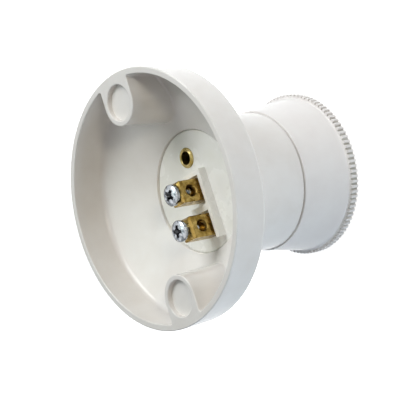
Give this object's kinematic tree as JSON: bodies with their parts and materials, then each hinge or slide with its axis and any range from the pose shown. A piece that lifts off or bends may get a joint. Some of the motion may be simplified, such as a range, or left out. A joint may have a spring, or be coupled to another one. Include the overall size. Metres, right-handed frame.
{
  "type": "ceiling lamp holder",
  "caption": "Straight batten lamp holder: round moulded cup with fixing bosses, a terminal carrier in its neck, a rolled screw shell for the lamp and a knurled screw ring.",
  "frame": {"origin": "centre of the ceiling plane, on the lamp's axis, midway between the two fixing bosses", "axes": "+Z along the lamp's axis, up into the ceiling; +X through the two fixing bosses, from the eyelet towards the neutral terminal; +Y out of the terminals' wire holes"},
  "size_m": [0.09, 0.09, 0.0711],
  "materials": {
    "housing_plastic": "polished white moulding",
    "ring_plastic": "polished white moulding",
    "carrier_plastic": "ivory white moulding",
    "terminal_brass": "machined brass",
    "eyelet_brass": "drawn and rolled brass",
    "strap_brass": "pressed brass strip",
    "shell_brass": "rolled brass sheet",
    "zinc_plated_steel": "bright zinc plating"
  },
  "bodies": {
    "housing": {"base_housing": "housing_plastic", "terminal_carrier": "carrier_plastic", "live_terminal_block": "terminal_brass", "neutral_terminal_block": "terminal_brass", "eyelet_rivet": "eyelet_brass", "shell_bridge": "strap_brass", "lamp_shell": "shell_brass", "shell_rivet_left": "strap_brass", "shell_rivet_right": "strap_brass", "live_post": "terminal_brass"},
    "ring": {"screw_ring": "ring_plastic"},
    "live_screw": {"live_terminal_screw": "zinc_plated_steel"},
    "neutral_screw": {"neutral_terminal_screw": "zinc_plated_steel"},
    "contact": {"centre_contact": "strap_brass"}
  },
  "joints": [
    {"name": "ring_unscrew", "type": "slide", "parent": "housing", "child": "ring", "axis": [0, 0, -1], "range_m": [0, 0.018]},
    {"name": "live_screw_travel", "type": "slide", "parent": "housing", "child": "live_screw", "axis": [0, 0, 1], "range_m": [-0.0007, 0.003]},
    {"name": "neutral_screw_travel", "type": "slide", "parent": "housing", "child": "neutral_screw", "axis": [0, 0, 1], "range_m": [-0.002, 0.002]},
    {"name": "contact_flex", "type": "hinge", "parent": "housing", "child": "contact", "pos_m": [0.0044, 0.00065, -0.0423], "axis": [0, 1, 0], "range_deg": [0, 12], "stiffness_Nm_per_rad": 0.1, "deforming": ["centre_contact"]}
  ]
}
